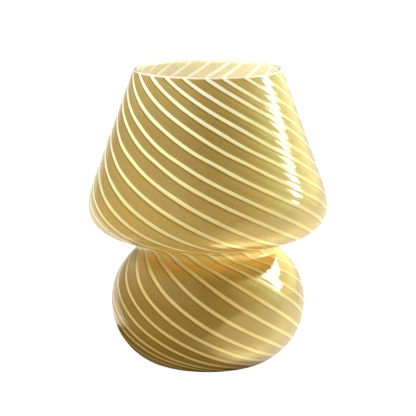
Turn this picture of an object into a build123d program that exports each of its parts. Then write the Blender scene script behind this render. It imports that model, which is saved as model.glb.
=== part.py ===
"""Mushroom table lamp: a one-piece blown-glass body with a wide cap and a round foot, carrying a
small screw lampholder on a three-armed plate that is snapped into the waist of the glass.
Millimetres, +Z up, origin on the surface the lamp stands on, under the middle of the foot.
The back of the lamp, where the cord enters, is +Y."""
from build123d import *
import math
import os

os.makedirs("parts", exist_ok=True)

# ---------------------------------------------------------------- driving dimensions
PAD_T = 1.2            # thickness of the clear bumpers under the glass
GLASS_H = 178.4        # height of the glass alone
WALL = 3.0             # blown wall
FLOOR_T = 4.6          # thicker glass under the foot
RIM_R = 44.4          # outer radius of the cut rim
WAIST_C = (46.4, 71.4)  # centre of the concave waist fillet (radius, height above the glass foot)
WAIST_R = 4.2
CORD_HOLE_R = 5.0      # drilled hole in the back of the foot
CORD_R = 3.2           # bore of the grommet, for a 6 mm lead
PLATE_Z = 82.98        # top face of the support plate
PLATE_T = 1.2
PLATE_R = 35.2
ARM_TIP_R = 46.0
HOLDER_R = 13.9        # crest of the thread on the lampholder skirt
THREAD_PITCH = 2.822   # E14 lamp thread
BULB_R = 22.5          # golf-ball bulb
BULB_L = 78.0          # overall length of the bulb

# Outer surface of the glass above its foot: (radius, height, slope of the normal in degrees)
BASE = [
    (35.20, 0.22, -79.0), (39.50, 1.40, -64.5), (43.00, 3.46, -54.9), (45.42, 5.30, -50.3),
    (50.31, 10.15, -40.1), (54.51, 16.32, -28.5), (57.57, 23.70, -16.7), (59.16, 31.86, -5.4),
    (59.36, 36.07, 0.2), (59.12, 40.28, 6.1), (57.38, 48.47, 18.1), (53.99, 55.98, 30.7),
    (49.45, 62.24, 43.5), (47.55, 64.40, 47.0),
]
WAIST_LOW, WAIST_HIGH = 48.5, -80.0
CAP = [
    (48.00, 76.38, -78.5), (53.00, 77.53, -75.5), (57.80, 78.92, -72.5), (61.45, 80.28, -67.0),
    (65.79, 82.57, -52.9), (68.06, 84.63, -42.4), (70.30, 87.54, -28.6), (71.90, 91.45, -15.3),
    (72.50, 95.88, -2.9), (72.16, 100.43, 8.5), (71.10, 105.16, 15.0), (69.52, 110.07, 18.6),
]
CONE_FOOT = (66.20, 118.90)
CONE_TILT = math.degrees(math.atan2(CONE_FOOT[0] - RIM_R, GLASS_H - CONE_FOOT[1]))


def normal(deg):
    return math.cos(math.radians(deg)), math.sin(math.radians(deg))


def inner(p, t=WALL):
    n = normal(p[2])
    return (p[0] - t * n[0], p[1] - t * n[1])


def waist(deg, r):
    n = normal(deg)
    return (WAIST_C[0] - r * n[0], WAIST_C[1] - r * n[1])


def up(p):
    return (p[0], p[1] + PAD_T)


# ---------------------------------------------------------------- glass body
rim_n = normal(CONE_TILT)
rim_in = (RIM_R - WALL / rim_n[0], GLASS_H)
cone_in = (CONE_FOOT[0] - WALL * rim_n[0], CONE_FOOT[1] - WALL * rim_n[1])
cone_dir = (-math.sin(math.radians(CONE_TILT)), math.cos(math.radians(CONE_TILT)))
low_t = (-math.sin(math.radians(WAIST_LOW)), math.cos(math.radians(WAIST_LOW)))
high_t = (-math.sin(math.radians(WAIST_HIGH)), math.cos(math.radians(WAIST_HIGH)))

with BuildPart() as glass_body:
    with BuildSketch(Plane.XZ) as section:
        with BuildLine():
            punt = ThreePointArc(up((0, 1.6)), up((8.2, 1.12)), up((15.5, 0)))
            foot = Line(up((15.5, 0)), up((29.0, 0)))
            base_out = Spline(
                [up((29.0, 0))] + [up(p[:2]) for p in BASE] + [up(waist(WAIST_LOW, WAIST_R))],
                tangents=[(1, 0), low_t],
            )
            waist_out = ThreePointArc(
                up(waist(WAIST_LOW, WAIST_R)), up(waist(-10, WAIST_R)), up(waist(WAIST_HIGH, WAIST_R))
            )
            cap_out = Spline(
                [up(waist(WAIST_HIGH, WAIST_R))] + [up(p[:2]) for p in CAP] + [up(CONE_FOOT)],
                tangents=[high_t, cone_dir],
            )
            cone_out = Line(up(CONE_FOOT), up((RIM_R, GLASS_H)))
            rim = Line(up((RIM_R, GLASS_H)), up(rim_in))
            cone_inner = Line(up(rim_in), up(cone_in))
            cap_in = Spline(
                [up(cone_in)] + [up(inner(p)) for p in reversed(CAP)] + [up(waist(WAIST_HIGH, WAIST_R + WALL))],
                tangents=[(-cone_dir[0], -cone_dir[1]), (-high_t[0], -high_t[1])],
            )
            waist_in = ThreePointArc(
                up(waist(WAIST_HIGH, WAIST_R + WALL)), up(waist(-10, WAIST_R + WALL)), up(waist(WAIST_LOW, WAIST_R + WALL))
            )
            base_in = Spline(
                [up(waist(WAIST_LOW, WAIST_R + WALL))] + [up(inner(p)) for p in reversed(BASE[1:])] + [up((16.0, FLOOR_T))],
                tangents=[(-low_t[0], -low_t[1]), (-1, 0)],
            )
            floor_in = Line(up((16.0, FLOOR_T)), up((0, FLOOR_T)))
            axis_line = Line(up((0, FLOOR_T)), up((0, 1.6)))
        make_face()
    revolve(axis=Axis.Z)
    # fire-polished rim
    rim_edges = glass_body.edges().filter_by(GeomType.CIRCLE).group_by(Axis.Z)[-1]
    fillet(rim_edges, 1.35)
    # drilled cord hole, square to the wall at the back
    hole_p, hole_n = (54.51, 16.32 + PAD_T), normal(-28.5)
    hole_plane = Plane(origin=(0, hole_p[0], hole_p[1]), x_dir=(1, 0, 0), z_dir=(0, hole_n[0], hole_n[1]))
    with BuildSketch(hole_plane):
        Circle(CORD_HOLE_R)
    extrude(amount=8, both=True, mode=Mode.SUBTRACT)
glass_body.part.label = "glass_body"
export_step(glass_body.part, "parts/glass_body.step")

# ---------------------------------------------------------------- bumpers under the foot
with BuildPart() as foot_pads:
    with BuildSketch(Plane.XY):
        with PolarLocations(20.0, 4, start_angle=45):
            Circle(4.0)
    extrude(amount=PAD_T)
    fillet(foot_pads.edges().filter_by(GeomType.CIRCLE).group_by(Axis.Z)[0], 0.35)
foot_pads.part.label = "foot_pads"
export_step(foot_pads.part, "parts/foot_pads.step")

# ---------------------------------------------------------------- cord grommet
# Revolved about the hole's axis: a lip inside, a groove that grips the wall, a lip and a short collar outside.
grommet_plane = Plane(origin=(0, hole_p[0], hole_p[1]), x_dir=(1, 0, 0), z_dir=(0, hole_n[0], hole_n[1]))
section_plane = Plane(
    origin=grommet_plane.origin, x_dir=grommet_plane.x_dir, z_dir=-grommet_plane.y_dir
)
with BuildPart() as cord_grommet:
    with BuildSketch(section_plane):
        with BuildLine():
            Polyline(
                (CORD_R, -5.0), (6.1, -5.0), (6.6, -4.6), (6.6, -3.75), (CORD_HOLE_R - 0.1, -3.75),
                (CORD_HOLE_R - 0.1, 0.45), (7.0, 0.45), (7.0, 1.3), (6.2, 1.9), (4.9, 2.3),
                (4.6, 4.4), (4.2, 4.8), (CORD_R, 4.8), close=True,
            )
        make_face()
    revolve(axis=Axis(grommet_plane.origin, grommet_plane.z_dir))
cord_grommet.part.label = "cord_grommet"
export_step(cord_grommet.part, "parts/cord_grommet.step")

# ---------------------------------------------------------------- support plate with three arms
plate_low = PLATE_Z - PLATE_T
RIVET_R = 29.5
with BuildPart() as support_plate:
    with BuildSketch(Plane.XY.offset(plate_low)):
        Circle(PLATE_R)
        with PolarLocations(ARM_TIP_R / 2, 3, start_angle=90):
            Rectangle(ARM_TIP_R, 12)
        Circle(HOLDER_R + 0.25, mode=Mode.SUBTRACT)
        with PolarLocations(RIVET_R, 3, start_angle=90):
            Circle(1.6, mode=Mode.SUBTRACT)
        # heat vents between the arms
        for k in (-24, 0, 24):
            with PolarLocations(27.0, 3, start_angle=150 + k):
                Circle(3.2, mode=Mode.SUBTRACT)
    extrude(amount=PLATE_T)
    fillet(support_plate.edges().filter_by(Axis.Z).sort_by_distance((0, 0, plate_low))[-6:], 2.0)
support_plate.part.label = "support_plate"
export_step(support_plate.part, "parts/support_plate.step")

# ---------------------------------------------------------------- soft boots on the arm tips
boot_low = plate_low - 1.45
with BuildPart() as arm_boots:
    with BuildSketch(Plane.XY.offset(boot_low)):
        with PolarLocations(43.8, 3, start_angle=90):
            RectangleRounded(5.6, 14.4, 2.4)
    extrude(amount=PLATE_T + 2.6)
    with BuildSketch(Plane.XY.offset(plate_low - 0.03)):
        with PolarLocations(ARM_TIP_R / 2, 3, start_angle=90):
            RectangleRounded(ARM_TIP_R + 0.12, 12.12, 2.0)
    extrude(amount=PLATE_T + 0.06, mode=Mode.SUBTRACT)
arm_boots.part.label = "arm_boots"
export_step(arm_boots.part, "parts/arm_boots.step")

# ---------------------------------------------------------------- spring clips under the arms
CLIP_T = 0.6
clip_z = plate_low - CLIP_T / 2 - 0.02
with BuildPart() as one_clip:
    with BuildLine(Plane.XZ) as clip_path:
        FilletPolyline(
            (24.6, clip_z), (34.4, clip_z), (38.1, 69.4), (45.0, 63.4), (41.1, 60.0), radius=1.7
        )
    with BuildSketch(Plane(origin=(24.6, 0, clip_z), x_dir=(0, 1, 0), z_dir=(1, 0, 0))):
        Rectangle(8.0, CLIP_T)
    sweep()
    with Locations((RIVET_R, 0, clip_z)):
        Cylinder(1.6, 4, mode=Mode.SUBTRACT)
with BuildPart() as spring_clips:
    with PolarLocations(0, 3, start_angle=90):
        add(one_clip.part)
spring_clips.part.label = "spring_clips"
export_step(spring_clips.part, "parts/spring_clips.step")

# ---------------------------------------------------------------- rivets
rivet_low = plate_low - CLIP_T - 0.04
with BuildPart() as clip_rivets:
    with BuildSketch(Plane.XY.offset(rivet_low - 0.9)):
        with PolarLocations(RIVET_R, 3, start_angle=90):
            Circle(2.9)
    extrude(amount=0.9)
    with BuildSketch(Plane.XY.offset(rivet_low)):
        with PolarLocations(RIVET_R, 3, start_angle=90):
            Circle(1.52)
    extrude(amount=PLATE_Z + 0.02 - rivet_low)
    with BuildSketch(Plane.XY.offset(PLATE_Z + 0.02)):
        with PolarLocations(RIVET_R, 3, start_angle=90):
            Circle(2.9)
    extrude(amount=1.1)
    fillet(clip_rivets.edges().filter_by(GeomType.CIRCLE).group_by(Axis.Z)[-1], 0.8)
clip_rivets.part.label = "clip_rivets"
export_step(clip_rivets.part, "parts/clip_rivets.step")

# ---------------------------------------------------------------- lampholder: clamping rings
with BuildPart() as clamp_rings:
    for low in (plate_low - 4.02, PLATE_Z + 0.02):
        with BuildSketch(Plane.XY.offset(low)):
            Circle(20.5)
            Circle(HOLDER_R + 0.08, mode=Mode.SUBTRACT)
            with PolarLocations(20.9, 30):
                Circle(0.9, mode=Mode.SUBTRACT)
        extrude(amount=4.0)
clamp_rings.part.label = "clamp_rings"
export_step(clamp_rings.part, "parts/clamp_rings.step")

# ---------------------------------------------------------------- lampholder: skirt
SKIRT_LOW, SKIRT_TOP = 52.1, 93.0
STEP_Z = 60.12
with BuildPart() as holder_skirt:
    with BuildLine():
        thread_path = Helix(pitch=2.5, height=25.0, radius=13.28, center=(0, 0, 65.2))
    with BuildSketch(Plane(origin=thread_path @ 0, z_dir=thread_path % 0)):
        Circle(0.6)
    sweep(is_frenet=True)
    with BuildSketch(Plane.XZ):
        with BuildLine():
            Polyline(
                (11.5, SKIRT_LOW), (13.3, SKIRT_LOW), (13.3, SKIRT_TOP - 0.8), (12.5, SKIRT_TOP),
                (9.6, SKIRT_TOP), (9.4, SKIRT_TOP - 0.2), (9.4, SKIRT_TOP - 1.6), (10.4, SKIRT_TOP - 2.6),
                (10.4, STEP_Z), (11.5, STEP_Z), close=True,
            )
        make_face()
    revolve(axis=Axis.Z)
    # the swept thread must not stand inside the bore
    with BuildSketch(Plane.XY.offset(STEP_Z)):
        Circle(12.6)
        Circle(10.4, mode=Mode.SUBTRACT)
    extrude(amount=SKIRT_TOP - STEP_Z - 3)
holder_skirt.part.label = "holder_skirt"
export_step(holder_skirt.part, "parts/holder_skirt.step")

# ---------------------------------------------------------------- lampholder: dome
with BuildPart() as holder_dome:
    with BuildSketch(Plane.XZ):
        with BuildLine():
            Line((5.1, 38.0), (8.0, 38.0))
            ThreePointArc((8.0, 38.0), (13.1, 40.3), (15.2, 45.6))
            Line((15.2, 45.6), (15.2, 62.4))
            Line((15.2, 62.4), (14.7, 62.9))
            Line((14.7, 62.9), (13.4, 62.9))
            Line((13.4, 62.9), (13.4, 52.05))
            Line((13.4, 52.05), (10.5, 52.05))
            Line((10.5, 52.05), (10.5, 45.6))
            ThreePointArc((10.5, 45.6), (9.0, 42.4), (7.6, 41.6))
            Line((7.6, 41.6), (7.6, 40.2))
            Line((7.6, 40.2), (5.1, 40.2))
            Line((5.1, 40.2), (5.1, 38.0))
        make_face()
    revolve(axis=Axis.Z)
    with BuildSketch(Plane.XY.offset(56)):
        with PolarLocations(15.5, 24):
            Circle(0.7)
    extrude(amount=6.0, mode=Mode.SUBTRACT)
holder_dome.part.label = "holder_dome"
export_step(holder_dome.part, "parts/holder_dome.step")

# ---------------------------------------------------------------- lampholder: inlet bush and its nut
with BuildPart() as inlet_bush:
    with BuildSketch(Plane.XZ):
        with BuildLine():
            Polyline(
                (3.4, 33.6), (3.9, 33.0), (6.2, 33.0), (7.2, 34.0), (7.2, 37.95), (5.0, 37.95),
                (5.0, 45.0), (3.9, 45.0), (3.4, 44.5), close=True,
            )
        make_face()
    revolve(axis=Axis.Z)
inlet_bush.part.label = "inlet_bush"
export_step(inlet_bush.part, "parts/inlet_bush.step")

with BuildPart() as inlet_nut:
    with BuildSketch(Plane.XY.offset(40.25)):
        RegularPolygon(7.0, 6)
        Circle(5.06, mode=Mode.SUBTRACT)
    extrude(amount=2.2)
inlet_nut.part.label = "inlet_nut"
export_step(inlet_nut.part, "parts/inlet_nut.step")

# ---------------------------------------------------------------- lampholder: contact carrier
CARRIER_LOW, CARRIER_TOP, BOSS_TOP = 52.1, 60.0, 64.0
with BuildPart() as contact_carrier:
    with BuildSketch(Plane.XY.offset(CARRIER_LOW)):
        Circle(11.4)
    extrude(amount=CARRIER_TOP - CARRIER_LOW)
    with BuildSketch(Plane.XY.offset(CARRIER_TOP)):
        Circle(7.0)
    extrude(amount=BOSS_TOP - CARRIER_TOP)
    # pockets for the terminals, open below and towards the screwdriver
    with BuildSketch(Plane.XY.offset(CARRIER_LOW)):
        with Locations((-6.8, -3.7), (6.8, -3.7)):
            Rectangle(5.2, 12.6)
    extrude(amount=5.9, mode=Mode.SUBTRACT)
    # slot for the centre contact
    with BuildSketch(Plane.XY.offset(CARRIER_LOW)):
        with Locations((-5.6, 0)):
            Rectangle(0.9, 4.3)
        with Locations((8.2, 0)):
            Rectangle(0.7, 4.3)
    extrude(amount=20, mode=Mode.SUBTRACT)
    # seat for the side contact
    with BuildSketch(Plane.XY.offset(CARRIER_TOP - 0.5)):
        with Locations((9.3, 0)):
            Rectangle(2.9, 4.3)
    extrude(amount=2, mode=Mode.SUBTRACT)
contact_carrier.part.label = "contact_carrier"
export_step(contact_carrier.part, "parts/contact_carrier.step")

# ---------------------------------------------------------------- lampholder: terminals
with BuildPart() as terminal_blocks:
    with BuildSketch(Plane.XY.offset(CARRIER_LOW + 0.25)):
        with Locations((-6.8, 0), (6.8, 0)):
            Rectangle(5.0, 5.0)
            Circle(1.2, mode=Mode.SUBTRACT)
    extrude(amount=5.6)
    with BuildSketch(Plane.XZ.offset(-3)):
        with Locations((-6.8, CARRIER_LOW + 3.0), (6.8, CARRIER_LOW + 3.0)):
            Circle(1.55)
    extrude(amount=6, mode=Mode.SUBTRACT)
terminal_blocks.part.label = "terminal_blocks"
export_step(terminal_blocks.part, "parts/terminal_blocks.step")

with BuildPart() as terminal_screws:
    with BuildSketch(Plane.XZ.offset(0.2)):
        with Locations((-6.8, CARRIER_LOW + 3.0), (6.8, CARRIER_LOW + 3.0)):
            Circle(1.47)
    extrude(amount=2.7)
    with BuildSketch(Plane.XZ.offset(2.9)):
        with Locations((-6.8, CARRIER_LOW + 3.0), (6.8, CARRIER_LOW + 3.0)):
            Circle(2.2)
    extrude(amount=1.5)
    with BuildSketch(Plane.XZ.offset(3.6)):
        with Locations((-6.8, CARRIER_LOW + 3.0), (6.8, CARRIER_LOW + 3.0)):
            Rectangle(0.6, 6)
    extrude(amount=2, mode=Mode.SUBTRACT)
terminal_screws.part.label = "terminal_screws"
export_step(terminal_screws.part, "parts/terminal_screws.step")

# ---------------------------------------------------------------- lampholder: contacts
with BuildPart() as centre_contact:
    with BuildLine(Plane.XZ):
        FilletPolyline(
            (-5.6, 58.08), (-5.6, 64.27), (4.0, 64.27), (-0.6, 67.75), (-3.2, 66.7), radius=0.7
        )
    with BuildSketch(Plane(origin=(-5.6, 0, 58.08), x_dir=(0, 1, 0), z_dir=(0, 0, 1))):
        Rectangle(4.0, 0.4)
    sweep()
centre_contact.part.label = "centre_contact"
export_step(centre_contact.part, "parts/centre_contact.step")

with BuildPart() as side_contact:
    with BuildLine(Plane.XZ):
        FilletPolyline((8.2, 58.0), (8.2, 59.8), (10.3, 59.8), radius=0.4)
    with BuildSketch(Plane(origin=(8.2, 0, 58.0), x_dir=(0, 1, 0), z_dir=(0, 0, 1))):
        Rectangle(4.0, 0.36)
    sweep()
side_contact.part.label = "side_contact"
export_step(side_contact.part, "parts/side_contact.step")

# ---------------------------------------------------------------- lampholder: screw shell
SHELL_IN, SHELL_OUT = 7.25, 7.7
with BuildPart() as screw_shell:
    with BuildLine():
        shell_path = Helix(pitch=THREAD_PITCH, height=THREAD_PITCH * 5, radius=SHELL_IN, center=(0, 0, 71.0))
    with BuildSketch(Plane(origin=shell_path @ 0, z_dir=shell_path % 0)):
        Circle(0.75)
    sweep(is_frenet=True)
    with BuildSketch(Plane.XY.offset(60)):
        Circle(7.45)
    extrude(amount=40, mode=Mode.INTERSECT)
    with BuildSketch(Plane.XZ):
        with BuildLine():
            Polyline(
                (SHELL_IN, 60.03), (9.9, 60.03), (9.9, 60.45), (SHELL_OUT, 60.45), (SHELL_OUT, 87.4),
                (SHELL_OUT + 0.3, 87.7), (SHELL_OUT, 87.9), (SHELL_IN, 87.6), close=True,
            )
        make_face()
    revolve(axis=Axis.Z)
screw_shell.part.label = "screw_shell"
export_step(screw_shell.part, "parts/screw_shell.step")

# ---------------------------------------------------------------- bulb
z0 = centre_contact.part.bounding_box().max.Z + 0.04
with BuildPart() as bulb_tip:
    with BuildSketch(Plane.XZ):
        with BuildLine():
            Line((0, z0), (0.8, z0))
            ThreePointArc((0.8, z0), (1.93, z0 + 0.47), (2.4, z0 + 1.15))
            Line((2.4, z0 + 1.15), (0, z0 + 1.15))
            Line((0, z0 + 1.15), (0, z0))
        make_face()
    revolve(axis=Axis.Z)
bulb_tip.part.label = "bulb_tip"
export_step(bulb_tip.part, "parts/bulb_tip.step")

with BuildPart() as bulb_insulator:
    with BuildSketch(Plane.XZ):
        with BuildLine():
            Polyline(
                (0.5, z0 + 1.2), (2.9, z0 + 1.2), (5.65, z0 + 4.3), (5.65, z0 + 6.0), (0.5, z0 + 6.0), close=True
            )
        make_face()
    revolve(axis=Axis.Z)
bulb_insulator.part.label = "bulb_insulator"
export_step(bulb_insulator.part, "parts/bulb_insulator.step")

CAP_ROOT = 6.145
with BuildPart() as bulb_cap:
    with BuildLine():
        cap_path = Helix(
            pitch=THREAD_PITCH, height=THREAD_PITCH * 4, radius=CAP_ROOT, center=(0, 0, 71.0 + THREAD_PITCH * 0.5 + THREAD_PITCH)
        )
    with BuildSketch(Plane(origin=cap_path @ 0, z_dir=cap_path % 0)):
        Circle(0.8)
    sweep(is_frenet=True)
    with BuildSketch(Plane.XZ):
        with BuildLine():
            Polyline(
                (0, z0 + 4.5), (CAP_ROOT, z0 + 4.5), (CAP_ROOT, 87.6), (7.3, 89.2), (8.35, 90.9),
                (8.35, 94.2), (0, 94.2), close=True,
            )
        make_face()
    revolve(axis=Axis.Z)
    with BuildSketch(Plane.XZ):
        with BuildLine():
            Polyline(
                (0, z0), (5.8, z0), (5.8, 87.8), (6.95, 89.4), (8.0, 91.1), (8.0, 95), (0, 95), close=True
            )
        make_face()
    revolve(axis=Axis.Z, mode=Mode.SUBTRACT)
bulb_cap.part.label = "bulb_cap"
export_step(bulb_cap.part, "parts/bulb_cap.step")

ball_z = z0 + BULB_L - BULB_R


def on_ball(deg, r):
    return (r * math.cos(math.radians(deg)), ball_z + r * math.sin(math.radians(deg)))


with BuildPart() as bulb_glass:
    with BuildSketch(Plane.XZ):
        with BuildLine():
            Line((6.9, 91.4), (7.7, 91.4))
            Line((7.7, 91.4), (7.7, 96.5))
            Spline((7.7, 96.5), (9.4, 101.6), on_ball(-42, BULB_R), tangents=[(0, 1), (0.669, 0.743)])
            ThreePointArc(on_ball(-42, BULB_R), on_ball(20, BULB_R), (0, ball_z + BULB_R))
            Line((0, ball_z + BULB_R), (0, ball_z + BULB_R - 0.8))
            ThreePointArc((0, ball_z + BULB_R - 0.8), on_ball(20, BULB_R - 0.8), on_ball(-42, BULB_R - 0.8))
            Spline(on_ball(-42, BULB_R - 0.8), (8.66, 101.9), (6.9, 96.6), tangents=[(-0.669, -0.743), (0, -1)])
            Line((6.9, 96.6), (6.9, 91.4))
        make_face()
    revolve(axis=Axis.Z)
bulb_glass.part.label = "bulb_glass"
export_step(bulb_glass.part, "parts/bulb_glass.step")

FIL_R = 6.0
WIRE_LOW, WIRE_HIGH = ball_z - 13.6, ball_z + 13.0
with BuildPart() as bulb_stem:
    with BuildSketch(Plane.XZ):
        with BuildLine():
            Polyline(
                (0, 91.6), (6.6, 91.6), (6.6, 92.4), (4.4, 94.4), (3.2, 98.0), (3.0, 104.0), (1.9, 106.6),
                (0.95, 108.2), (0.95, ball_z + 14.6), (0, ball_z + 15.4), close=True,
            )
        make_face()
    revolve(axis=Axis.Z)
bulb_stem.part.label = "bulb_stem"
export_step(bulb_stem.part, "parts/bulb_stem.step")

with BuildPart() as bulb_filaments:
    with BuildSketch(Plane.XY.offset(WIRE_LOW + 0.33)):
        with PolarLocations(FIL_R, 4, start_angle=45):
            Circle(0.85)
    extrude(amount=WIRE_HIGH - WIRE_LOW - 0.66)
bulb_filaments.part.label = "bulb_filaments"
export_step(bulb_filaments.part, "parts/bulb_filaments.step")

with BuildPart() as filament_wires:
    for level in (WIRE_LOW, WIRE_HIGH):
        with PolarLocations(3.8, 4, start_angle=45):
            with Locations((0, 0, level)):
                Cylinder(0.28, 5.6, rotation=(0, 90, 0))
filament_wires.part.label = "filament_wires"
export_step(filament_wires.part, "parts/filament_wires.step")
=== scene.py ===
import math

import bpy
import numpy as np
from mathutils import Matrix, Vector


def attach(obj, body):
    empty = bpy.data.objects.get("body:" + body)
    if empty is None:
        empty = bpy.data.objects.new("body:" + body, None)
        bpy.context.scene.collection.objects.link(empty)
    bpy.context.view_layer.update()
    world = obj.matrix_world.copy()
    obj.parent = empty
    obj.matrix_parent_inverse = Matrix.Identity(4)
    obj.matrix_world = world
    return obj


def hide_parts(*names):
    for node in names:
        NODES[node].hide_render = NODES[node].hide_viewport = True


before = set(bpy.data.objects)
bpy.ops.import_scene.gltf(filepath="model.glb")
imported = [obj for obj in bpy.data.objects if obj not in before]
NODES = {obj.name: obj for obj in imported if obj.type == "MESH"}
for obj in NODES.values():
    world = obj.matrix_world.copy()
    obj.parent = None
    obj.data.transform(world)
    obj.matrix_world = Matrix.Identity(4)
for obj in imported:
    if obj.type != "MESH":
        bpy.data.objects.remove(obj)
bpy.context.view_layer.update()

MM = 0.001

# ------------------------------------------------------------------ camera, at the photograph's angle
cam_data = bpy.data.cameras.new("camera")
cam = bpy.data.objects.new("camera", cam_data)
bpy.context.scene.collection.objects.link(cam)
AIM = Vector((0, 0, 0.0938))
ELEV, DIST = math.radians(12.5), 0.900
cam.location = AIM + DIST * Vector((0, -math.cos(ELEV), math.sin(ELEV)))
cam.rotation_mode = "QUATERNION"
cam.rotation_quaternion = (AIM - cam.location).to_track_quat("-Z", "Y")
cam_data.sensor_width = 36.0
cam_data.lens = 127.88
cam_data.shift_x, cam_data.shift_y = 0.00036, 0.0012
cam_data.clip_start, cam_data.clip_end = 0.05, 50
bpy.context.scene.camera = cam


# ------------------------------------------------------------------ small node helpers
class Mat:
    """A node material under construction."""

    def __init__(self, name):
        self.m = bpy.data.materials.new(name)
        self.m.use_nodes = True
        self.t = self.m.node_tree
        self.t.nodes.clear()
        self.out = self.t.nodes.new("ShaderNodeOutputMaterial")
        self.bsdf = self.t.nodes.new("ShaderNodeBsdfPrincipled")
        self.t.links.new(self.bsdf.outputs[0], self.out.inputs["Surface"])

    def n(self, kind, **kw):
        node = self.t.nodes.new(kind)
        for k, v in kw.items():
            setattr(node, k, v)
        return node

    def put(self, socket, value):
        if hasattr(value, "is_output"):
            self.t.links.new(value, socket)
        else:
            socket.default_value = value

    def math(self, op, a, b=0.0, c=0.0, clamp=False):
        node = self.n("ShaderNodeMath", operation=op, use_clamp=clamp)
        self.put(node.inputs[0], a)
        self.put(node.inputs[1], b)
        self.put(node.inputs[2], c)
        return node.outputs[0]

    def remap(self, v, a, b, c=0.0, d=1.0, kind="SMOOTHSTEP"):
        node = self.n("ShaderNodeMapRange", interpolation_type=kind, clamp=True)
        for i, x in enumerate((v, a, b, c, d)):
            self.put(node.inputs[i], x)
        return node.outputs[0]

    def mix(self, f, a, b, blend="MIX"):
        node = self.n("ShaderNodeMix", data_type="RGBA", blend_type=blend)
        self.put(node.inputs[0], f)
        self.put(node.inputs[6], a)
        self.put(node.inputs[7], b)
        return node.outputs[2]

    def noise(self, vec, scale, detail=3.0, rough=0.5, dim="3D", w=0.0):
        node = self.n("ShaderNodeTexNoise", noise_dimensions=dim)
        if vec is not None:
            self.put(node.inputs["Vector"], vec)
        node.inputs["Scale"].default_value = scale
        node.inputs["Detail"].default_value = detail
        node.inputs["Roughness"].default_value = rough
        return node.outputs["Fac"]

    def ramp(self, fac, stops, interp="LINEAR"):
        node = self.n("ShaderNodeValToRGB")
        cr = node.color_ramp
        cr.interpolation = interp
        while len(cr.elements) > 1:
            cr.elements.remove(cr.elements[-1])
        cr.elements[0].position = stops[0][0]
        cr.elements[0].color = (*stops[0][1], 1)
        for p, c in stops[1:]:
            e = cr.elements.new(p)
            e.color = (*c, 1)
        self.put(node.inputs[0], fac)
        return node.outputs[0]

    def scaled(self, vec, sx, sy, sz):
        node = self.n("ShaderNodeVectorMath", operation="MULTIPLY")
        self.put(node.inputs[0], vec)
        node.inputs[1].default_value = (sx, sy, sz)
        return node.outputs[0]

    def bump(self, height, strength, distance, normal=None):
        node = self.n("ShaderNodeBump")
        node.inputs["Strength"].default_value = strength
        node.inputs["Distance"].default_value = distance
        self.put(node.inputs["Height"], height)
        if normal is not None:
            self.put(node.inputs["Normal"], normal)
        return node.outputs[0]

    def set(self, **kw):
        names = {
            "color": "Base Color", "rough": "Roughness", "metal": "Metallic", "ior": "IOR", "normal": "Normal",
            "sss": "Subsurface Weight", "sss_r": "Subsurface Radius", "sss_s": "Subsurface Scale",
            "trans": "Transmission Weight", "spec": "Specular IOR Level", "coat": "Coat Weight",
            "coat_rough": "Coat Roughness", "alpha": "Alpha", "aniso": "Anisotropic", "emit": "Emission Color",
            "emit_s": "Emission Strength",
        }
        for k, v in kw.items():
            self.put(self.bsdf.inputs[names[k]], v)
        return self.m

    def obj(self):
        return self.n("ShaderNodeTexCoord").outputs["Object"]


# ------------------------------------------------------------------ the glass: profile
PAD_T, GLASS_H, WALL, FLOOR_T, RIM_R = 1.2, 178.4, 3.0, 4.6, 44.4
WAIST_C, WAIST_R = (46.4, 71.4), 4.2
BASE = [
    (35.20, 0.22, -79.0), (39.50, 1.40, -64.5), (43.00, 3.46, -54.9), (45.42, 5.30, -50.3),
    (50.31, 10.15, -40.1), (54.51, 16.32, -28.5), (57.57, 23.70, -16.7), (59.16, 31.86, -5.4),
    (59.36, 36.07, 0.2), (59.12, 40.28, 6.1), (57.38, 48.47, 18.1), (53.99, 55.98, 30.7),
    (49.45, 62.24, 43.5), (47.55, 64.40, 47.0),
]
WAIST_LOW, WAIST_HIGH = 48.5, -80.0
CAP = [
    (48.00, 76.38, -78.5), (53.00, 77.53, -75.5), (57.80, 78.92, -72.5), (61.45, 80.28, -67.0),
    (65.79, 82.57, -52.9), (68.06, 84.63, -42.4), (70.30, 87.54, -28.6), (71.90, 91.45, -15.3),
    (72.50, 95.88, -2.9), (72.16, 100.43, 8.5), (71.10, 105.16, 15.0), (69.52, 110.07, 18.6),
]
CONE_FOOT = (66.20, 118.90)
TILT = math.degrees(math.atan2(CONE_FOOT[0] - RIM_R, GLASS_H - CONE_FOOT[1]))
LIP_R = 1.35


def nrm(deg):
    return np.array((math.cos(math.radians(deg)), math.sin(math.radians(deg))))


def spline(points, t0, t1, step=0.05):
    """Clamped cubic spline through points by chord length, sampled finely."""
    p = np.array(points, float)
    h = np.hypot(*np.diff(p, axis=0).T)
    u = np.concatenate([[0], np.cumsum(h)])
    n = len(p)
    a = np.zeros((n, n))
    b = np.zeros((n, 2))
    a[0, 0] = a[-1, -1] = 1
    b[0], b[-1] = t0, t1
    for i in range(1, n - 1):
        a[i, i - 1], a[i, i], a[i, i + 1] = h[i], 2 * (h[i - 1] + h[i]), h[i - 1]
        b[i] = 3 * (h[i - 1] * (p[i + 1] - p[i]) / h[i] + h[i] * (p[i] - p[i - 1]) / h[i - 1])
    m = np.linalg.solve(a, b)
    out = []
    for i in range(n - 1):
        t = np.linspace(0, 1, max(3, int(h[i] / step)))[:, None]
        q = ((2 * t**3 - 3 * t**2 + 1) * p[i] + (t**3 - 2 * t**2 + t) * h[i] * m[i]
             + (-2 * t**3 + 3 * t**2) * p[i + 1] + (t**3 - t**2) * h[i] * m[i + 1])
        out.append(q if i == 0 else q[1:])
    return np.concatenate(out)


def arc(c, r, a0, a1, step=0.05):
    n = max(4, int(abs(math.radians(a1 - a0)) * r / step))
    t = np.radians(np.linspace(a0, a1, n))
    return np.stack([c[0] + r * np.cos(t), c[1] + r * np.sin(t)], 1)


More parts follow.
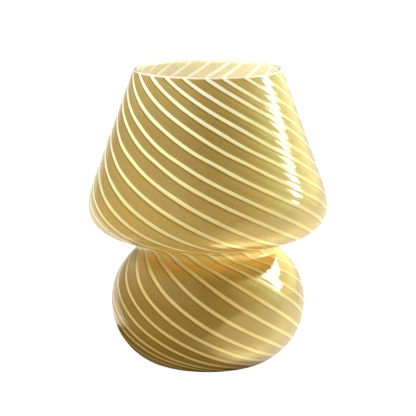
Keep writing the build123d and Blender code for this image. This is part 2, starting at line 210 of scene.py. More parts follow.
def line(a, b, step=0.05):
    a, b = np.array(a, float), np.array(b, float)
    n = max(3, int(np.hypot(*(b - a)) / step))
    return a + np.linspace(0, 1, n)[:, None] * (b - a)


def waist(deg, r):
    return np.array(WAIST_C) - r * nrm(deg)


def inner(p):
    return np.array(p[:2]) - WALL * nrm(p[2])


def chain(parts):
    out = [parts[0]]
    for q in parts[1:]:
        out.append(q[1:])
    return np.concatenate(out)


low_t, high_t = np.array((-nrm(WAIST_LOW)[1], nrm(WAIST_LOW)[0])), np.array((-nrm(WAIST_HIGH)[1], nrm(WAIST_HIGH)[0]))
up_cone = np.array((-math.sin(math.radians(TILT)), math.cos(math.radians(TILT))))
rim_n = nrm(TILT)
# fire-polished lip: a small arc at the outer edge and one at the inner edge of the top
half_out, half_in = math.radians(90 - TILT) / 2, math.radians(90 + TILT) / 2
lip_o = (RIM_R - LIP_R * math.tan(half_out), GLASS_H - LIP_R)
rim_in_r = RIM_R - WALL / rim_n[0]
lip_i = (rim_in_r + LIP_R * math.tan(half_in), GLASS_H - LIP_R)
cone_top = np.array(lip_o) + LIP_R * rim_n
cone_in_top = np.array(lip_i) - LIP_R * rim_n
# the flat foot, with a shallow hollow in its middle
k = (1.6**2 + 15.5**2) / (2 * 1.6)
punt = arc((0, 1.6 - k), k, 90, 90 - math.degrees(math.asin(15.5 / k)))
OUTER = chain([
    punt,
    line((15.5, 0), (29.0, 0)),
    spline([(29.0, 0)] + [p[:2] for p in BASE] + [tuple(waist(WAIST_LOW, WAIST_R))], (1, 0), low_t),
    arc(WAIST_C, WAIST_R, 180 + WAIST_LOW, 180 + WAIST_HIGH),
    spline([tuple(waist(WAIST_HIGH, WAIST_R))] + [p[:2] for p in CAP] + [CONE_FOOT], high_t, up_cone),
    line(CONE_FOOT, cone_top),
])
LIP = chain([arc(lip_o, LIP_R, TILT, 90), line((lip_o[0], GLASS_H), (lip_i[0], GLASS_H)), arc(lip_i, LIP_R, 90, 180 + TILT)])
cone_in = np.array(CONE_FOOT) - WALL * rim_n
INNER = chain([
    line(cone_in_top, cone_in),
    spline([tuple(cone_in)] + [tuple(inner(p)) for p in reversed(CAP)] + [tuple(waist(WAIST_HIGH, WAIST_R + WALL))], -up_cone, -high_t),
    arc(WAIST_C, WAIST_R + WALL, 180 + WAIST_HIGH, 180 + WAIST_LOW),
    spline([tuple(waist(WAIST_LOW, WAIST_R + WALL))] + [tuple(inner(p)) for p in reversed(BASE[1:])] + [(16.0, FLOOR_T)], -low_t, (-1, 0)),
    line((16.0, FLOOR_T), (0, FLOOR_T)),
])
for prof in (OUTER, LIP, INNER):
    prof[:, 1] += PAD_T


def arclen(p):
    return np.concatenate([[0], np.cumsum(np.hypot(*np.diff(p, axis=0).T))])


S_OUT = arclen(OUTER)
S_LIP = S_OUT[-1] + arclen(LIP)
S_IN = S_LIP[-1] + arclen(INNER)

# ------------------------------------------------------------------ the glass: swirl
# 22 cream canes. Their angle about the axis at one height, and how far the twist has turned them at each height.
PHI = np.sort(np.array([
    83.7, 66.5, 52.4, 37.1, 21.3, 4.4, -13.0, -27.9, -45.2, -62.9, -80.4, -97.1, -113.8, -126.3, -144.4, -161.6,
    -179.7, -197.4, -213.8, -230.4, -246.5, -263.8,
]))
N_CANE = len(PHI)
TW_CAP = {84: 82.1, 90: 68.8, 96: 58.5, 102: 49.0, 108: 39.1, 114: 29.5, 120: 19.4, 126: 9.4, 132: 0.0, 138: -10.9,
          144: -20.7, 150: -30.6, 156: -41.5, 162: -52.5, 168: -63.4, 174: -74.9, 180: -86.0}
TW_BASE = {12: 55.9, 18: 41.4, 24: 29.5, 30: 18.5, 36: 8.9, 42: 0.0, 48: -8.8, 54: -17.6, 60: -26.8, 66: -38.0, 72: -53.3}


def smooth(v, k):
    w = np.hanning(2 * k + 3)[1:-1]
    w /= w.sum()
    pad = np.concatenate([2 * v[0] - v[k:0:-1], v, 2 * v[-1] - v[-2:-k - 2:-1]])
    return np.convolve(pad, w, "valid")


def twist_table():
    """Twist in degrees at each sample of OUTER."""
    i_waist = int(np.argmin(np.where((OUTER[:, 1] > 66) & (OUTER[:, 1] < 80), OUTER[:, 0], 1e9)))
    keys, vals = [], []
    for z, v in sorted(TW_BASE.items()):
        j = int(np.argmin(np.where(np.arange(len(OUTER)) <= i_waist, abs(OUTER[:, 1] - z) + (OUTER[:, 0] < 30) * 99, 1e9)))
        keys.append(S_OUT[j])
        vals.append(v + 187.8)
    for z, v in sorted(TW_CAP.items()):
        if z > OUTER[-1, 1]:
            continue
        ok = (np.arange(len(OUTER)) > i_waist) & (OUTER[:, 0] > 60 if z < 90 else True)
        j = int(np.argmin(np.where(ok, abs(OUTER[:, 1] - z), 1e9)))
        keys.append(S_OUT[j])
        vals.append(v)
    keys, vals = np.array(keys), np.array(vals)
    # below the lowest reading the canes close in on the pontil in the middle of the foot
    s_foot = np.arange(14, keys[0] - 1.5, 3.0)
    v_foot = vals[0] + (keys[0] - s_foot) * 2.85
    v_mid = v_foot[0]
    t = np.interp(S_OUT, np.concatenate([[0], s_foot, keys]), np.concatenate([[v_mid], v_foot, vals]))
    # beyond the last reading the slope goes on
    last = S_OUT > keys[-1]
    t[last] = vals[-1] - (S_OUT[last] - keys[-1]) * (vals[-2] - vals[-1]) / (keys[-1] - keys[-2])
    return smooth(t, 90)


TWIST = twist_table()


# ------------------------------------------------------------------ the glass: mesh
def pick_rows(s, spacing):
    dens = np.concatenate([[0], np.cumsum(np.diff(s) / ((spacing[1:] + spacing[:-1]) / 2))])
    n = int(math.ceil(dens[-1]))
    return np.interp(np.linspace(0, dens[-1], n + 1), dens, s)


def at(s_rows, s, v):
    if v.ndim == 1:
        return np.interp(s_rows, s, v)
    return np.stack([np.interp(s_rows, s, v[:, i]) for i in range(v.shape[1])], 1)


sp = np.where(OUTER[:, 0] < 30, 2.6, 1.2)
near_waist = (OUTER[:, 1] > 66.5) & (OUTER[:, 1] < 79) & (OUTER[:, 0] < 50)
sp = smooth(np.where(near_waist, 0.65, sp), 60)
ro = pick_rows(S_OUT, sp)
rl = pick_rows(S_LIP, np.full(len(S_LIP), 0.42))[1:-1]
ri = pick_rows(S_IN, np.where((INNER[:, 1] < 80) & (INNER[:, 1] > 64) & (INNER[:, 0] < 60), 1.3, 3.4))
prof_rows = np.concatenate([at(ro, S_OUT, OUTER), at(rl, S_LIP, LIP), at(ri, S_IN, INNER)])
s_rows = np.concatenate([ro, rl, ri])
side = np.concatenate([np.zeros(len(ro)), np.full(len(rl), 2), np.ones(len(ri))]).astype(int)
# the canes go straight through the wall, so inside they lie behind the nearest point outside
tw_in = []
for p in at(ri, S_IN, INNER):
    d2 = ((OUTER - p)**2).sum(1)
    tw_in.append(TWIST[int(np.argmin(d2))])
tw_in = smooth(np.array(tw_in), 2)
tw_in[0] = TWIST[-1]
tw_rows = np.concatenate([at(ro, S_OUT, TWIST), np.full(len(rl), TWIST[-1]), tw_in])
seg = np.hypot(*np.gradient(prof_rows, axis=0).T)
slope = np.radians(np.gradient(tw_rows)) / np.maximum(seg, 1e-6)          # radians of twist per mm of profile
tan = np.gradient(prof_rows, axis=0)
tan /= np.linalg.norm(tan, axis=1, keepdims=True)
norm_rz = np.stack([tan[:, 1], -tan[:, 0]], 1)                            # outward along the whole path
R, Z = prof_rows[:, 0], prof_rows[:, 1]

FR = np.array([0, .06, .12, .18, .25, .32, .40, .5, .60, .68, .75, .82, .88, .94])
rng = np.random.default_rng(11)
ph = rng.uniform(0, 6.283, (4, N_CANE))
rise = rng.uniform(0.9, 1.1, N_CANE)
wide = rng.uniform(0.88, 1.12, N_CANE)


def wander(kc, s):
    """The hand-drawn unevenness of one cane, in degrees."""
    return 0.28 * np.sin(s / 17.0 + ph[0, kc]) + 0.18 * np.sin(s / 7.3 + ph[1, kc])


cols_th, cols_d, cols_k = [], [], []
rr_safe = np.maximum(R, 0.4)
perp = rr_safe / np.sqrt(1 + (rr_safe * slope)**2)
for kc in range(N_CANE):
    a = PHI[kc] + wander(kc, s_rows)
    kn = (kc + 1) % N_CANE
    b = (PHI[kn] + (360 if kn == 0 else 0)) + wander(kn, s_rows)
    for f in FR:
        cols_th.append(a + f * (b - a))
        cols_d.append(perp * np.radians(f * (b - a)) if f <= 0.5 else perp * np.radians((f - 1) * (b - a)))
        cols_k.append(kc if f <= 0.5 else kn)
TH = np.radians(np.array(cols_th).T + tw_rows[:, None])                   # rows x columns
D = np.array(cols_d).T
half_p = np.array([perp * np.radians(0.5 * ((PHI[(c + 1) % N_CANE] + (360 if c == N_CANE - 1 else 0)) - PHI[c])) for c in range(N_CANE)]).T
nc = D.shape[1]
# the canes and the glass between them stand a little proud, more where it was gathered thick than at the drawn-out rim
hgt = np.interp(Z, [0, 8, 20, 60, 74, 90, 120, 140, 155, 170, 179], [0, .04, .08, .08, .05, .11, .135, .14, .13, .11, .05])
hgt = hgt * (side == 0) * np.clip((s_rows - 33) / 10, 0, 1) * np.clip((S_OUT[-1] - s_rows) / 4, 0, 1)
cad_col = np.arange(nc) // len(FR)                                         # the gap that each column is in
off = np.clip(np.abs(D) / np.maximum(half_p[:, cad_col], 1e-6), 0, 1)      # 0 on a cane, 1 midway between two
wave = 1 - (2 * np.minimum(off, 1 - off))**2                              # low pillows that meet in fine valleys
lift = hgt[:, None] * wave * rise[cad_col][None, :]
RR = R[:, None] + norm_rz[:, :1] * lift
ZZ = Z[:, None] + norm_rz[:, 1:] * lift
# the poles are single vertices
nr = len(R)
X, Y = RR * np.sin(TH), -RR * np.cos(TH)
rows = range(1, nr - 1)
verts = [(0, 0, Z[0] * MM)]
verts += np.stack([X[1:-1], Y[1:-1], ZZ[1:-1]], -1).reshape(-1, 3).dot(MM).tolist()
verts.append((0, 0, Z[-1] * MM))
faces, fmat, uv = [], [], []


def vid(i, j):
    return 1 + (i - 1) * nc + j % nc


def corner_d(i, j, face_col):
    """Distance from the nearest cane at a corner, seen from the face between face_col and face_col + 1."""
    q = FR[face_col % len(FR)]
    jj = j % nc
    if j == face_col + 1 and FR[jj % len(FR)] == 0.5:
        return D[i, jj]
    if j == face_col and q == 0.5:
        kc = (jj // len(FR))
        return D[i, jj] - 2 * half_p[i, kc]
    return D[i, jj]


for i in range(0, nr - 1):
    for j in range(nc):
        if i == 0:
            f = (0, vid(1, j + 1), vid(1, j))
            cs = ((0, j), (1, j + 1), (1, j))
        elif i == nr - 2:
            f = (vid(i, j), vid(i, j + 1), len(verts) - 1)
            cs = ((i, j), (i, j + 1), (nr - 1, j))
        else:
            f = (vid(i, j), vid(i, j + 1), vid(i + 1, j + 1), vid(i + 1, j))
            cs = ((i, j), (i, j + 1), (i + 1, j + 1), (i + 1, j))
        faces.append(f)
        fmat.append(int(max(side[i], side[i + 1]) if side[i] != side[i + 1] and 2 in (side[i], side[i + 1]) else side[i]))
        for (a, b) in cs:
            uv.append((corner_d(a, b, j), s_rows[a]))
mesh = bpy.data.meshes.new("swirl_glass")
mesh.from_pydata(verts, [], faces)
lay = mesh.uv_layers.new(name="swirl")
lay.data.foreach_set("uv", np.array(uv, np.float32).ravel())
mesh.polygons.foreach_set("material_index", np.array(fmat, np.int32))
mesh.polygons.foreach_set("use_smooth", np.ones(len(faces), bool))
mesh.update()
for finish in ("swirl_glass_outside", "swirl_glass_inside", "swirl_glass_lip"):
    mesh.materials.append(bpy.data.materials.new(finish + "_slot"))       # the cut keeps each face's slot only if it is filled
glass = bpy.data.objects.new("swirl_glass", mesh)
bpy.context.scene.collection.objects.link(glass)
print("glass faces", len(faces), "rows", nr, "cols", nc, "outer length", round(S_OUT[-1], 1))

# drilled cord hole, square to the wall low at the back
hole_p, hole_n = Vector((0, 0.05451, 0.01752)), Vector((0, 0.878817, -0.477159))
bpy.ops.mesh.primitive_cylinder_add(vertices=64, radius=0.005, depth=0.016, location=hole_p)
drill = bpy.context.object
drill.rotation_mode = "QUATERNION"
drill.rotation_quaternion = hole_n.to_track_quat("Z", "Y")
bpy.context.view_layer.update()
cut = glass.modifiers.new("cord_hole", "BOOLEAN")
cut.operation, cut.solver, cut.object = "DIFFERENCE", "EXACT", drill
dg = bpy.context.evaluated_depsgraph_get()
done = bpy.data.meshes.new_from_object(glass.evaluated_get(dg))
glass.modifiers.clear()
glass.data = done
done.name = "swirl_glass"
bpy.data.objects.remove(drill)
print("glass faces after the hole", len(done.polygons), "materials", sorted({p.material_index for p in done.polygons}))


# ------------------------------------------------------------------ the glass: finish
def glass_material(name, inside=False, lip=False):
    g = Mat(name)
    uvn = g.n("ShaderNodeUVMap", uv_map="swirl").outputs[0]
    sep = g.n("ShaderNodeSeparateXYZ")
    g.put(sep.inputs[0], uvn)
    d, s = sep.outputs[0], sep.outputs[1]
    o = g.obj()
    so = g.n("ShaderNodeSeparateXYZ")
    g.put(so.inputs[0], o)
    z = g.math("DIVIDE", so.outputs[2], 0.18)
    # cane edges waver a little, and the canes swell and thin along their length
    wav = g.noise(g.scaled(o, 1, 1, 1), 55.0, 2.0)
    edge = g.math("MULTIPLY_ADD", wav, 0.55, -0.275)
    fine = g.noise(o, 420.0, 2.0)
    edge = g.math("ADD", edge, g.math("MULTIPLY_ADD", fine, 0.16, -0.08))
    ad = g.math("ABSOLUTE", d)
    width = g.math("ADD", 1.02, edge)
    cane = g.remap(g.math("SUBTRACT", ad, width), -0.26, 0.26, 1.0, 0.0)
    core = g.remap(ad, 0.0, 0.95, 1.0, 0.0)
    # painted shadow: a thin darker line along the lower side of each cane, where the raised cane shades the glass
    # beside it
    low = g.math("MULTIPLY_ADD", d, -1.0, 0.0)
    under = g.math("MULTIPLY", g.remap(g.math("SUBTRACT", low, width), 0.05, 0.4, 0.0, 1.0),
                   g.remap(g.math("SUBTRACT", low, width), 0.5, 1.5, 1.0, 0.0))
    # drawn streaks that follow the twist, clouds in the gather, fine grain
    comb = g.n("ShaderNodeCombineXYZ")
    g.put(comb.inputs[0], g.math("MULTIPLY", d, 0.9))
    g.put(comb.inputs[1], g.math("MULTIPLY", s, 0.045))
    g.put(comb.inputs[2], g.math("MULTIPLY", so.outputs[0], 9.0))
    streak = g.noise(comb.outputs[0], 1.6, 4.0, 0.6)
    cloud = g.noise(o, 17.0, 3.0)
    grain = g.noise(o, 1100.0, 2.0, 0.6)
    if inside:
        body = g.ramp(z, [(0.0, (.60, .46, .20)), (.40, (.64, .50, .24)), (.52, (.71, .62, .36)), (.80, (.78, .71, .46)), (1.0, (.83, .78, .56))])
        stripe = g.ramp(z, [(0.0, (.84, .75, .46)), (.52, (.93, .89, .70)), (1.0, (1.0, .985, .91))])
    else:
        # painted light: the outside colour by height is matched to the lighting as well as to the glass. It is painted
        # lighter and more orange in the waist crease (.36 to .43), which lies in shade, and lighter on the shade's
        # lower shoulder (.47 to .556). The cane colours carry the same painted glow at the waist
        body = g.ramp(z, [(0.0, (.275, .165, .030)), (.10, (.288, .176, .033)), (.20, (.318, .203, .039)), (.25, (.312, .196, .038)), (.30, (.355, .218, .042)),
                          (.33, (.42, .270, .052)), (.36, (.65, .43, .094)), (.378, (.90, .60, .15)), (.395, (.96, .67, .18)), (.43, (.68, .43, .088)),
                          (.47, (.63, .42, .108)), (.51, (.64, .435, .122)), (.556, (.56, .382, .106)), (.62, (.48, .326, .089)), (.69, (.46, .314, .085)),
                          (.79, (.428, .290, .076)), (.84, (.424, .290, .076)), (.89, (.45, .314, .085)), (1.0, (.49, .350, .108))])
        stripe = g.ramp(z, [(0.0, (.48, .31, .09)), (.12, (.66, .48, .15)), (.30, (.74, .54, .18)), (.36, (.93, .76, .31)), (.43, (.94, .79, .35)),
                            (.50, (.87, .74, .34)), (.60, (.87, .77, .385)), (.72, (.92, .85, .47)), (.86, (.96, .92, .61)), (1.0, (.98, .96, .76))])
    tone = g.math("ADD", g.math("MULTIPLY_ADD", streak, 0.20, 0.90), g.math("MULTIPLY_ADD", cloud, 0.14, -0.07))
    tone = g.math("ADD", tone, g.math("MULTIPLY_ADD", grain, 0.50, -0.25))
    tint = g.n("ShaderNodeCombineColor")
    for i in range(3):
        g.put(tint.inputs[i], tone)
    body = g.mix(1.0, body, tint.outputs[0], "MULTIPLY")
    # painted shadow: a fainter darker line along the upper side of each cane
    over = g.math("MULTIPLY", g.remap(g.math("SUBTRACT", d, width), 0.0, 0.3, 0.0, 1.0), g.remap(g.math("SUBTRACT", d, width), 0.3, 0.9, 1.0, 0.0))
    body = g.mix(g.math("MULTIPLY", under, 0.0 if inside else 0.50), body, (.16, .095, .014, 1))
    body = g.mix(g.math("MULTIPLY", over, 0.0 if inside else 0.22), body, (.16, .095, .014, 1))
    stripe = g.mix(g.math("MULTIPLY", core, 0.10), stripe, (1.0, .98, .80, 1))
    col = g.mix(cane, body, stripe)
    if lip:
        # painted highlight: the lip's pale inside colour is mixed further towards cream, for the light its rounded edge
        # catches
        col = g.mix(0.35, col, (.86, .82, .68, 1))
    # surface: soft ripple of blown glass, a few seeds
    ripple = g.noise(o, 60.0, 2.0, 0.45)
    seeds = g.remap(g.noise(o, 700.0, 0.0), 0.77, 0.83, 0.0, 1.0)
    h = g.math("ADD", ripple, g.math("MULTIPLY", seeds, 0.03))
    nb = g.bump(h, 0.35, 0.0006)
    rough = g.math("MULTIPLY_ADD", g.noise(o, 35.0, 3.0), 0.022, 0.006 if not inside or lip else 0.32)
    return g.set(color=col, rough=rough, ior=1.5, normal=nb, sss=1.0 if not inside else 0.6, sss_r=(1.0, 0.7, 0.3) if not inside else (1.0, .92, .8),
                 sss_s=0.0034)


for i, m in enumerate((glass_material("swirl_glass_outside"), glass_material("swirl_glass_inside", inside=True),
                       glass_material("swirl_glass_lip", inside=True, lip=True))):
    blank = done.materials[i]
    done.materials[i] = m
    bpy.data.materials.remove(blank)
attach(glass, "lamp")
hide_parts("glass_body")


# ------------------------------------------------------------------ the inner pieces: finish on the CAD nodes
def dress(mat, *names):
    for n in names:
        o = NODES[n]
        o.data.materials.clear()
        o.data.materials.append(mat)


def plastic(name, col, rough, grain=0.25, sss=0.12):
    g = Mat(name)
    o = g.obj()
    c = g.mix(g.math("MULTIPLY", g.noise(o, 60.0, 4.0), 0.5), (*col, 1), tuple(x * 0.90 for x in col) + (1,))
    dust = g.remap(g.noise(o, 240.0, 5.0, 0.65), 0.55, 0.8, 0.0, 0.35)
    c = g.mix(dust, c, (col[0] * .86, col[1] * .85, col[2] * .80, 1))
    nb = g.bump(g.noise(o, 2600.0, 2.0), grain, 0.00005)
    r = g.math("MULTIPLY_ADD", g.noise(o, 180.0, 3.0), 0.14, rough - 0.07)
    return g.set(color=c, rough=r, normal=nb, sss=sss, sss_r=(1, .9, .8), sss_s=0.0008)


def metal(name, col, rough, brushed=None, stain=0.25):
    g = Mat(name)
    o = g.obj()
    c = g.mix(g.math("MULTIPLY", g.noise(o, 90.0, 5.0, 0.6), stain * 2), (*col, 1), tuple(x * 0.72 for x in col) + (1,))
    spots = g.remap(g.noise(o, 500.0, 4.0), 0.62, 0.74, 0.0, stain)
    c = g.mix(spots, c, (col[0] * .55, col[1] * .5, col[2] * .45, 1))
    if brushed:
        h = g.noise(g.scaled(o, *brushed), 1.0, 3.0, 0.6)
    else:
        h = g.noise(o, 1400.0, 3.0, 0.6)
    nb = g.bump(h, 0.25, 0.00004)
    r = g.math("MULTIPLY_ADD", h, 0.18, rough - 0.06)
    return g.set(color=c, rough=r, metal=1.0, normal=nb)


dress(plastic("white_thermoplastic", (.80, .80, .76), 0.38), "clamp_rings", "holder_skirt", "holder_dome", "inlet_bush")
dress(metal("zinc_steel", (.62, .64, .66), 0.32), "inlet_nut", "terminal_screws")
dress(metal("spring_steel", (.60, .60, .61), 0.24, brushed=(300, 300, 5200)), "spring_clips", "clip_rivets")
dress(metal("brass", (.76, .56, .22), 0.26), "terminal_blocks")
dress(metal("contact_bronze", (.78, .50, .24), 0.24), "centre_contact", "side_contact", "screw_shell")
dress(metal("solder", (.66, .66, .67), 0.42), "bulb_tip")
dress(metal("nickel_plate", (.74, .72, .68), 0.20, brushed=(200, 200, 4200)), "bulb_cap")
dress(metal("nickel_wire", (.70, .69, .66), 0.3), "filament_wires")


def enamel():
    g = Mat("white_paint")
    o = g.obj()
    c = g.mix(g.remap(g.noise(o, 110.0, 5.0, 0.6), 0.35, 0.8, 0.0, 1.0), (.82, .82, .79, 1), (.74, .73, .69, 1))
    peel = g.noise(o, 900.0, 2.0)
    return g.set(color=c, rough=g.math("MULTIPLY_ADD", g.noise(o, 260.0), 0.12, 0.22), normal=g.bump(peel, 0.25, 0.00008), coat=0.4, coat_rough=0.1)


dress(enamel(), "support_plate")


def silicone():
    g = Mat("clear_silicone")
    o = g.obj()
    c = g.mix(g.noise(o, 130.0, 4.0), (.80, .80, .75, 1), (.66, .66, .60, 1))
    return g.set(color=c, rough=g.math("MULTIPLY_ADD", g.noise(o, 400.0), 0.15, 0.28), trans=0.35, ior=1.41, sss=0.3,
                 sss_r=(1, 1, .9), sss_s=0.0015, normal=g.bump(g.noise(o, 1300.0, 3.0), 0.25, 0.00006))


dress(silicone(), "foot_pads", "arm_boots")


def rubber():
    g = Mat("dark_rubber")
    o = g.obj()
    c = g.mix(g.remap(g.noise(o, 500.0, 6.0, 0.7), 0.4, 0.75, 0.0, 1.0), (.055, .042, .022, 1), (.11, .088, .055, 1))
    return g.set(color=c, rough=g.math("MULTIPLY_ADD", g.noise(o, 700.0), 0.2, 0.5), normal=g.bump(g.noise(o, 2400.0, 3.0), 0.4, 0.00008))


dress(rubber(), "cord_grommet")


def ceramic():
    g = Mat("ceramic_body")
    o = g.obj()
    c = g.mix(g.noise(o, 260.0, 5.0, 0.7), (.84, .81, .74, 1), (.76, .72, .63, 1))
    spk = g.remap(g.noise(o, 1800.0, 1.0), 0.70, 0.76, 0.0, 0.6)
    c = g.mix(spk, c, (.42, .36, .28, 1))
    return g.set(color=c, rough=g.math("MULTIPLY_ADD", g.noise(o, 300.0), 0.15, 0.30), normal=g.bump(g.noise(o, 1500.0, 3.0), 0.3, 0.00006))


dress(ceramic(), "contact_carrier")


def vitrite():
    g = Mat("black_vitrite")
    o = g.obj()
    c = g.mix(g.noise(o, 380.0, 5.0, 0.7), (.010, .010, .012, 1), (.035, .033, .035, 1))
    return g.set(color=c, rough=g.math("MULTIPLY_ADD", g.noise(o, 500.0), 0.2, 0.12), normal=g.bump(g.noise(o, 900.0, 3.0), 0.3, 0.00006))


dress(vitrite(), "bulb_insulator")


def clear(name, tint, rough):
    g = Mat(name)
    o = g.obj()
    c = g.mix(g.noise(o, 45.0, 3.0), (*tint, 1), tuple(x * 0.965 for x in tint) + (1,))
    return g.set(color=c, rough=rough, trans=1.0, ior=1.12, normal=g.bump(g.noise(o, 40.0, 2.0), 0.08, 0.0004))


dress(clear("bulb_glass", (.985, .99, .985), 0.0), "bulb_glass")
dress(clear("bulb_stem", (.95, .97, .97), 0.02), "bulb_stem")


def phosphor():
    g = Mat("phosphor")
    o = g.obj()
    c = g.mix(g.noise(o, 900.0, 4.0, 0.7), (.88, .62, .10, 1), (.78, .50, .06, 1))
    return g.set(color=c, rough=g.math("MULTIPLY_ADD", g.noise(o, 900.0), 0.2, 0.45), normal=g.bump(g.noise(o, 2600.0, 3.0), 0.5, 0.00008), sss=0.2,
                 sss_r=(1, .7, .2), sss_s=0.0005)


dress(phosphor(), "bulb_filaments")

# ------------------------------------------------------------------ floor, light and surroundings
bpy.ops.mesh.primitive_plane_add(size=6.0, location=(0, 0, 0))
floor = bpy.context.object
floor.name = "floor"
fm = Mat("pale_floor")
fm.set(color=fm.mix(fm.noise(fm.obj(), 3.0, 2.0), (.88, .88, .88, 1), (.86, .86, .86, 1)), rough=0.9, spec=0.0)
# the sweep is lit far brighter than the object, so it reads as white paper
sweep, both = fm.n("ShaderNodeEmission"), fm.n("ShaderNodeAddShader")
sweep.inputs["Color"].default_value = (1, 1, 1, 1)
fm.t.links.new(fm.n("ShaderNodeLightPath").outputs["Is Camera Ray"], sweep.inputs["Strength"])
fm.t.links.new(fm.bsdf.outputs[0], both.inputs[0])
fm.t.links.new(sweep.outputs[0], both.inputs[1])
fm.t.links.new(both.outputs[0], fm.out.inputs["Surface"])
floor.data.materials.append(fm.m)
floor.visible_glossy = False


def area(name, az, el, dist, w, h, power, colour=(1, 1, 1), target=(0, 0, .11), spread=180, glossy=True, diffuse=True):
    d = bpy.data.lights.new(name, "AREA")
    d.shape, d.size, d.size_y, d.energy, d.color = "RECTANGLE", w, h, power, colour
    d.spread = math.radians(spread)
    o = bpy.data.objects.new(name, d)
    bpy.context.scene.collection.objects.link(o)
    a, e = math.radians(az), math.radians(el)
    t = Vector(target)
    o.location = t + dist * Vector((math.sin(a) * math.cos(e), -math.cos(a) * math.cos(e), math.sin(e)))
    o.rotation_mode = "QUATERNION"
    o.rotation_quaternion = (o.location - t).to_track_quat("Z", "Y")
    o.visible_camera = False
    o.visible_glossy, o.visible_diffuse = glossy, diffuse
    return o


# what the foot shades of the surface under it, as the glass mirrors it
bpy.ops.mesh.primitive_circle_add(vertices=64, radius=0.11, fill_type="NGON", location=(-0.030, -0.004, -0.0004))
shade_disc = bpy.context.object
shade_disc.name = "foot_shade"
dd = Mat("foot_shade")
dd.t.nodes.remove(dd.bsdf)
pos = dd.n("ShaderNodeVectorMath", operation="LENGTH")
dd.put(pos.inputs[0], dd.obj())
clearing = dd.remap(pos.outputs["Value"], 0.058, 0.076, 0.0, 1.0)
tr, bl, mx = dd.n("ShaderNodeBsdfTransparent"), dd.n("ShaderNodeBsdfDiffuse"), dd.n("ShaderNodeMixShader")
bl.inputs["Color"].default_value = (.10, .075, .03, 1)
dd.t.links.new(clearing, mx.inputs[0])
dd.t.links.new(bl.outputs[0], mx.inputs[1])
dd.t.links.new(tr.outputs[0], mx.inputs[2])
dd.t.links.new(mx.outputs[0], dd.out.inputs["Surface"])
shade_disc.data.materials.append(dd.m)
shade_disc.visible_camera = shade_disc.visible_diffuse = shade_disc.visible_transmission = shade_disc.visible_shadow = False

# tall window to the right and a little behind
DW = 1.6
win_w, win_h = 2 * DW * math.tan(math.radians(7.0)), 2 * DW * math.tan(math.radians(21.0))
WIN_L = 17.0
window = area("window", 101.0, 33.0, DW, win_w, win_h, WIN_L * math.pi * win_w * win_h, (1.0, .985, .95), diffuse=False)
# its high side pane, further back
pane_w, pane_h = 2 * DW * math.tan(math.radians(13.0)), 2 * DW * math.tan(math.radians(6.5))
area("window_side", 125.0, 29.0, DW, pane_w, pane_h, WIN_L * math.pi * pane_w * pane_h, (1.0, .985, .95), diffuse=False)


def soft(name, az, el, dist, w, h, level, colour=(1, 1, 1), target=(0, 0, .11)):
    """A softbox that shades the object but doesn't show in its gloss. level is its light on a face square to it, white being 1."""
    area(name, az, el, dist, w, h, level * math.pi**2 * dist**2, colour, target, glossy=False)


soft("key_left", -56.0, 52.0, 1.0, 0.5, 0.5, 0.70, (1.0, .99, .95))
soft("behind", 150.0, 20.0, 0.8, 0.6, 0.4, 0.50, (1.0, .98, .93))
# the sunlit surface to the right of the foot throws light up under the glass
bounce = area("bounce", 0, 0, 1.0, 0.24, 0.26, 0.24 * 0.26 * math.pi * 0.7, (1.0, .96, .80), glossy=False)
bounce.location = (0.205, 0.02, 0.002)
bounce.rotation_quaternion = (0, 1, 0, 0)
for a, p in ((76.0, 0.011), (34.0, 0.011)):
    area("low_fill", a, 0.2, 0.30, 0.25, 0.044, p, (.88, 1.0, 1.25), target=(0, 0, .024), spread=24, glossy=False)
# light that has come through the pale wall and fills the shade from within
glow_d = bpy.data.lights.new("inside_glow", "POINT")
glow_d.energy, glow_d.color, glow_d.shadow_soft_size = 0.042, (1.0, .97, .89), 0.012
glow = bpy.data.objects.new("inside_glow", glow_d)
bpy.context.scene.collection.objects.link(glow)
glow.location = (0, 0, 0.158)
glow.visible_camera = glow.visible_glossy = glow.visible_transmission = False

world = bpy.data.worlds.new("studio")
bpy.context.scene.world = world
world.use_nodes = True
wt = world.node_tree
wt.nodes.clear()


class W(Mat):
    def __init__(self, tree):
        self.t = tree


w = W(wt)
gen = w.n("ShaderNodeTexCoord").outputs["Generated"]
ws = w.n("ShaderNodeSeparateXYZ")
w.put(ws.inputs[0], gen)
wx, wy, wz = ws.outputs
deg = 57.29578
az = w.math("MULTIPLY", w.math("ARCTAN2", wx, w.math("MULTIPLY", wy, -1.0)), deg)      # 0 towards the camera, 90 to the right
el = w.math("MULTIPLY", w.math("ARCSINE", wz), deg)


def band(v, lo, hi, soft):
    return w.math("MULTIPLY", w.remap(v, lo - soft, lo + soft), w.remap(v, hi - soft, hi + soft, 1.0, 0.0))


def lum(rgb, f):
    node = w.n("ShaderNodeVectorMath", operation="SCALE")
    node.inputs[0].default_value = rgb
    w.put(node.inputs[3], f)
    return node.outputs[0]


def add(a, b):
    node = w.n("ShaderNodeVectorMath", operation="ADD")
    w.put(node.inputs[0], a)
    w.put(node.inputs[1], b)
    return node.outputs[0]


ceil = w.remap(el, 45.0, 78.0)
raz = w.math("DIVIDE", w.math("ADD", az, 180.0), 360.0)


def round_about(stops):
    """A colour for each azimuth, kept under 1 in the ramp and scaled back up."""
    return w.ramp(raz, [((a + 180) / 360, tuple(c / 10 for c in rgb)) for a, rgb in stops])


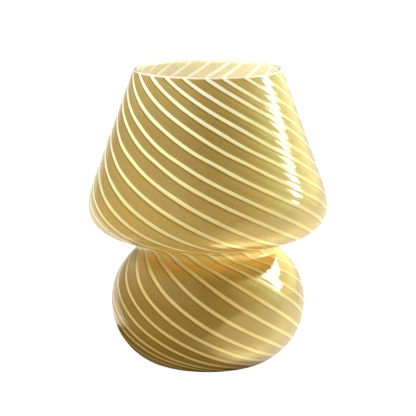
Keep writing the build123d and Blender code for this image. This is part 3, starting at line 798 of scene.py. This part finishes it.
# what the gloss sees: a dim room in front, a bright wall to the right, a grey one straight behind
wall_r = round_about([(-180, (.05, .07, .09)), (-162, (.10, .14, .16)), (-150, (.34, .44, .42)), (-120, (.40, .40, .32)), (-90, (.32, .28, .18)),
                      (-45, (.30, .27, .16)), (0, (.34, .30, .16)), (30, (1.9, 1.4, .35)), (60, (5.4, 4.2, 1.25)), (75, (7.4, 6.8, 2.2)),
                      (92, (9.2, 8.6, 3.6)), (116, (7.2, 6.4, 2.6)), (146, (4.2, 3.8, 1.8)), (162, (3.4, 3.0, 1.5)), (174, (.9, .9, .7)), (180, (.10, .12, .14))])
surf_r = round_about([(-180, (.80, .82, .82)), (-124, (1.8, 1.7, 1.3)), (-100, (.8, .75, .6)), (-60, (.5, .45, .3)), (-30, (1.0, .85, .40)),
                      (0, (2.0, 1.7, .75)), (12, (2.9, 2.4, 1.0)), (30, (5.2, 4.2, 1.7)), (100, (6.8, 6.0, 2.9)), (130, (3.2, 2.9, 1.8)), (160, (1.4, 1.3, 1.1)),
                      (180, (.8, .82, .82))])
# how high the pale surface that the lamp stands on reaches, seen from the lamp, all the way round
edge_stops = [(-180, 2), (-140, 0), (-124, -12), (-112, -43), (-60, -45), (-15, -42), (9, -24), (26, -5), (51, 6), (80, 9), (105, 3), (130, 0), (180, 2)]
edge = w.ramp(raz, [((a + 180) / 360, ((e + 90) / 180,) * 3) for a, e in edge_stops])
edge_el = w.math("MULTIPLY_ADD", edge, 180.0, -90.0)
table = w.remap(w.math("SUBTRACT", el, edge_el), -5.0, 5.0, 1.0, 0.0)
above = w.remap(el, 45.0, 65.0, 1.0, 0.12)
gloss_sky = w.n("ShaderNodeVectorMath", operation="SCALE")
w.put(gloss_sky.inputs[0], wall_r)
w.put(gloss_sky.inputs[3], w.math("MULTIPLY", above, 10.0))
gloss_surf = w.n("ShaderNodeVectorMath", operation="SCALE")
w.put(gloss_surf.inputs[0], surf_r)
gloss_surf.inputs[3].default_value = 10.0
left_high = w.math("MULTIPLY", band(az, -142.0, -22.0, 14.0), w.remap(el, 4.0, 24.0))
near_right = w.math("MULTIPLY", band(az, 5.0, 140.0, 14.0), w.remap(el, -75.0, -45.0, 1.0, 0.0))
gloss_env = w.mix(table, add(add(gloss_sky.outputs[0], lum((.60, .72, .50), left_high)), lum((.5, .5, .45), ceil)),
                  add(gloss_surf.outputs[0], lum((3.0, 2.3, .8), near_right)))


# what lights the matt part of each finish: soft, fuller on the left and from overhead
def grey_ring(stops):
    return w.ramp(raz, [((a + 180) / 360, (v, v, v * .965)) for a, v in stops])


around = w.mix(w.remap(el, 2.0, 30.0),
               grey_ring([(-180, .12), (-120, .17), (-60, .24), (-20, .285), (20, .29), (60, .20), (100, .13), (140, .12), (180, .12)]),
               grey_ring([(-180, .16), (-130, .24), (-60, .39), (-20, .32), (20, .24), (60, .15), (100, .10), (140, .10), (180, .16)]))
matt_env = add(around, lum((1.0, 1.0, .95), ceil))
lp = wt.nodes.new("ShaderNodeLightPath")
mixt = w.mix(lp.outputs["Is Glossy Ray"], matt_env, gloss_env)
bg = wt.nodes.new("ShaderNodeBackground")
wt.links.new(mixt, bg.inputs["Color"])
bg.inputs["Strength"].default_value = 1.0
white = wt.nodes.new("ShaderNodeBackground")
white.inputs["Color"].default_value = (1, 1, 1, 1)
white.inputs["Strength"].default_value = 1.05
pick = wt.nodes.new("ShaderNodeMixShader")
wt.links.new(lp.outputs["Is Camera Ray"], pick.inputs[0])
wt.links.new(bg.outputs[0], pick.inputs[1])
wt.links.new(white.outputs[0], pick.inputs[2])
wo = wt.nodes.new("ShaderNodeOutputWorld")
wt.links.new(pick.outputs[0], wo.inputs["Surface"])

sc = bpy.context.scene
sc.view_settings.view_transform = "Standard"
sc.view_settings.look = "None"
sc.view_settings.exposure = 0.0
sc.view_settings.gamma = 1.0
